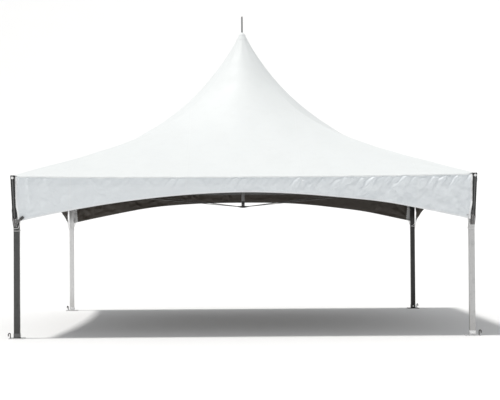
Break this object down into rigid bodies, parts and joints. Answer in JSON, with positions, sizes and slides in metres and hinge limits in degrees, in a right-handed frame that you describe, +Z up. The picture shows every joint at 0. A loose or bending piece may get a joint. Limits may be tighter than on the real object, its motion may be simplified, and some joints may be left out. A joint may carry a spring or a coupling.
{
  "type": "marquee tent",
  "caption": "Square frame marquee: white canopy sweeping up to a central spike, arched valances, tube legs on base plates, and a mast hung on crossed cables.",
  "frame": {"origin": "centre of the square plan at ground level, under the mast", "axes": "+Z up along the mast; -Y is the front side seen in the picture; +X to the right seen from the front"},
  "size_m": [6.181, 6.181, 4.68],
  "materials": {
    "roof_vinyl": "white coated canopy fabric, satin",
    "valance_vinyl": "white coated valance fabric, satin",
    "tube_aluminium": "mill-finish aluminium tube, brushed",
    "galvanised_steel": "dull galvanised steel",
    "dark_steel": "dark steel",
    "cable_steel": "stranded steel cable with swaged ends",
    "black_webbing": "black woven webbing",
    "black_cap": "matt black moulded pad"
  },
  "bodies": {
    "root": {"leg_front_left": "tube_aluminium", "base_plate_front_left": "galvanised_steel", "stake_front_left": "dark_steel", "corner_fitting_front_left": "galvanised_steel", "corner_cap_front_left": "black_cap", "corner_strap_front_left": "black_webbing", "ratchet_front_left": "dark_steel", "cross_cable_front_left": "cable_steel", "leg_front_right": "tube_aluminium", "base_plate_front_right": "galvanised_steel", "stake_front_right": "dark_steel", "corner_fitting_front_right": "galvanised_steel", "corner_cap_front_right": "black_cap", "corner_strap_front_right": "black_webbing", "ratchet_front_right": "dark_steel", "cross_cable_front_right": "cable_steel", "leg_rear_left": "tube_aluminium", "base_plate_rear_left": "galvanised_steel", "stake_rear_left": "dark_steel", "corner_fitting_rear_left": "galvanised_steel", "corner_cap_rear_left": "black_cap", "corner_strap_rear_left": "black_webbing", "ratchet_rear_left": "dark_steel", "cross_cable_rear_left": "cable_steel", "leg_rear_right": "tube_aluminium", "base_plate_rear_right": "galvanised_steel", "stake_rear_right": "dark_steel", "corner_fitting_rear_right": "galvanised_steel", "corner_cap_rear_right": "black_cap", "corner_strap_rear_right": "black_webbing", "ratchet_rear_right": "dark_steel", "cross_cable_rear_right": "cable_steel", "roof_panel_front": "roof_vinyl", "valance_front": "valance_vinyl", "eave_beam_front": "tube_aluminium", "roof_panel_right": "roof_vinyl", "valance_right": "valance_vinyl", "eave_beam_right": "tube_aluminium", "roof_panel_rear": "roof_vinyl", "valance_rear": "valance_vinyl", "eave_beam_rear": "tube_aluminium", "roof_panel_left": "roof_vinyl", "valance_left": "valance_vinyl", "eave_beam_left": "tube_aluminium", "mast": "tube_aluminium", "mast_shoe": "galvanised_steel", "peak_spike": "tube_aluminium"}
  },
  "joints": []
}
